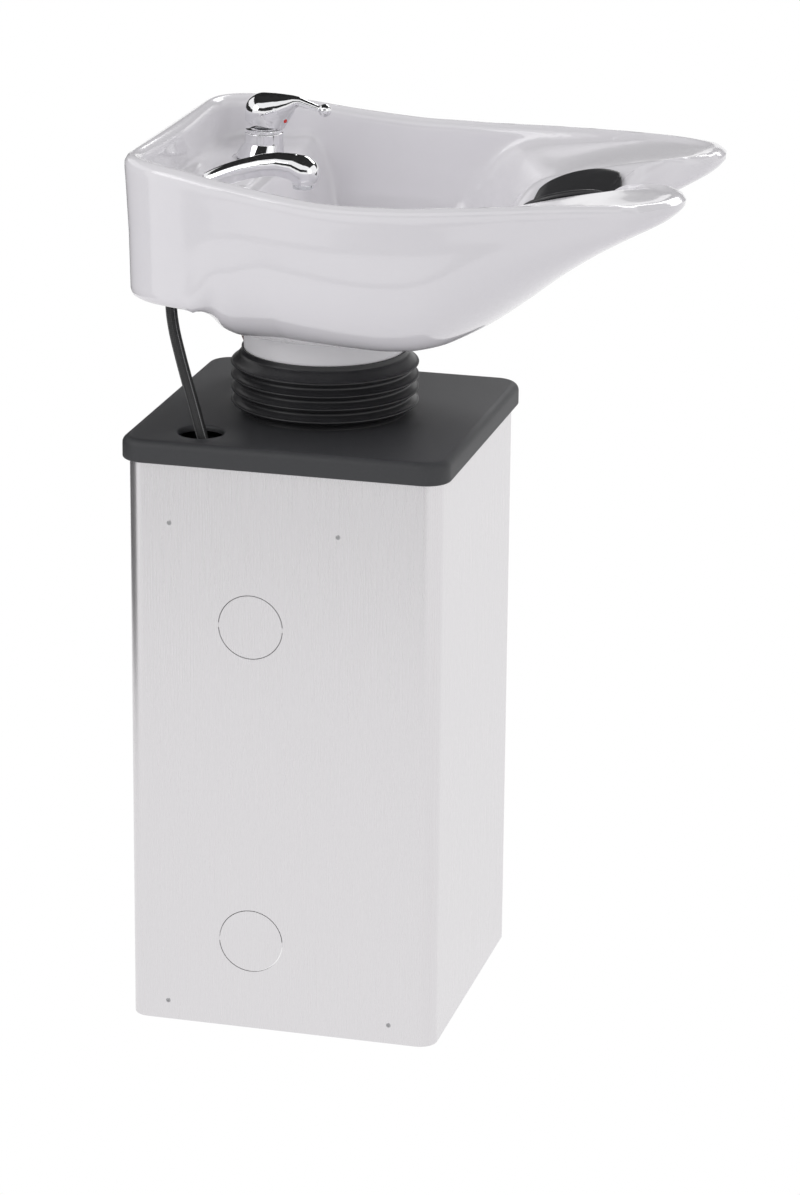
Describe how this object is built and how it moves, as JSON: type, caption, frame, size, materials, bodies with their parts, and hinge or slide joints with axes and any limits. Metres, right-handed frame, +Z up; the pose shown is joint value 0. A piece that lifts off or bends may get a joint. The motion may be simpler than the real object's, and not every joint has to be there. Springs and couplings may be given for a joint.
{
  "type": "shampoo station",
  "caption": "Tilting ceramic shampoo bowl with lever mixer, pull-out hand spray and soft neck rest on a square steel-cased floor pedestal.",
  "frame": {"origin": "on the floor, at the centre of the pedestal and of its anchor holes, under the tilt axis", "axes": "+Z up, +X towards the neck notch, +Y towards the mixer's side"},
  "size_m": [0.602, 0.463, 1.003],
  "materials": {
    "glazed_ceramic": "white glaze, glossy",
    "brushed_casing": "stainless sheet, brushed upright",
    "black_top": "moulded, fine leather grain",
    "black_rubber": "satin",
    "painted_steel": "powder coat",
    "zinc": "zinc plated",
    "bronze": "machined",
    "white_plastic": "satin",
    "grey_plastic": "satin",
    "chrome_plate": "polished",
    "nozzle_plastic": "chromed plastic",
    "red_plastic": "glossy",
    "black_braid": "braided nylon sleeve",
    "steel_braid": "braided steel sleeve",
    "soft_black": "fine grained skin over soft foam"
  },
  "bodies": {
    "pedestal": {"floor_plate": "painted_steel", "corner_posts": "painted_steel", "top_plate": "painted_steel", "casing": "brushed_casing", "knockout_discs": "brushed_casing", "casing_screws": "zinc", "cap": "black_top", "cap_screws": "zinc", "bellows": "black_rubber", "lower_bracket": "painted_steel", "bracket_bolts": "zinc", "bracket_nuts": "zinc", "pivot_bolts": "zinc", "pivot_nuts": "zinc", "friction_washers": "bronze", "bottle_trap": "white_plastic", "outlet_pipe": "white_plastic", "lower_hose_clip": "zinc", "drain_hose": "grey_plastic", "spray_hose": "black_braid", "hot_supply_hose": "steel_braid", "cold_supply_hose": "steel_braid", "supply_hose_nuts": "zinc"},
    "bowl": {"bowl": "glazed_ceramic", "upper_bracket": "painted_steel", "bracket_studs": "zinc", "pivot_bushes": "bronze", "collar": "white_plastic", "waste_flange": "chrome_plate", "waste_seal": "black_rubber", "waste_nut": "bronze", "upper_hose_clip": "zinc", "mixer_gasket": "black_rubber", "mixer_body": "chrome_plate", "cartridge": "grey_plastic", "cartridge_nut": "chrome_plate", "mixer_stud": "bronze", "mixer_clamp": "zinc", "mixer_stud_nut": "bronze", "spray_holder": "chrome_plate", "holder_nut": "bronze"},
    "strainer": {"waste_strainer": "chrome_plate"},
    "neck_rest": {"neck_rest": "soft_black"},
    "carrier": {"lever_carrier": "grey_plastic", "lever_pin": "zinc"},
    "lever": {"mixer_lever": "chrome_plate", "lever_stem": "bronze", "index_button": "red_plastic"},
    "spray": {"spray_handle": "chrome_plate", "spray_nozzle": "nozzle_plastic", "hose_nut": "chrome_plate", "hose_lead": "black_braid"}
  },
  "joints": [
    {"name": "bowl_tilt", "type": "hinge", "parent": "pedestal", "child": "bowl", "pos_m": [0, 0, 0.705], "axis": [0, 1, 0], "range_deg": [-12, 12], "deforming": ["bellows", "drain_hose", "spray_hose", "hot_supply_hose", "cold_supply_hose"]},
    {"name": "strainer_lift", "type": "slide", "parent": "bowl", "child": "strainer", "axis": [0, 0, 1], "range_m": [0, 0.03]},
    {"name": "neck_rest_lift", "type": "slide", "parent": "bowl", "child": "neck_rest", "axis": [0, 0, 1], "range_m": [0, 0.06]},
    {"name": "lever_swivel", "type": "hinge", "parent": "bowl", "child": "carrier", "pos_m": [-0.099, 0.1, 0.948], "axis": [0, 0, 1], "range_deg": [-50, 50]},
    {"name": "lever_lift", "type": "hinge", "parent": "carrier", "child": "lever", "pos_m": [-0.099, 0.1, 0.952], "axis": [0, -1, 0], "range_deg": [0, 20]},
    {"name": "spray_pull", "type": "slide", "parent": "bowl", "child": "spray", "axis": [0.8746, 0, 0.4848], "range_m": [0, 0.15], "deforming": ["hose_lead"]}
  ]
}
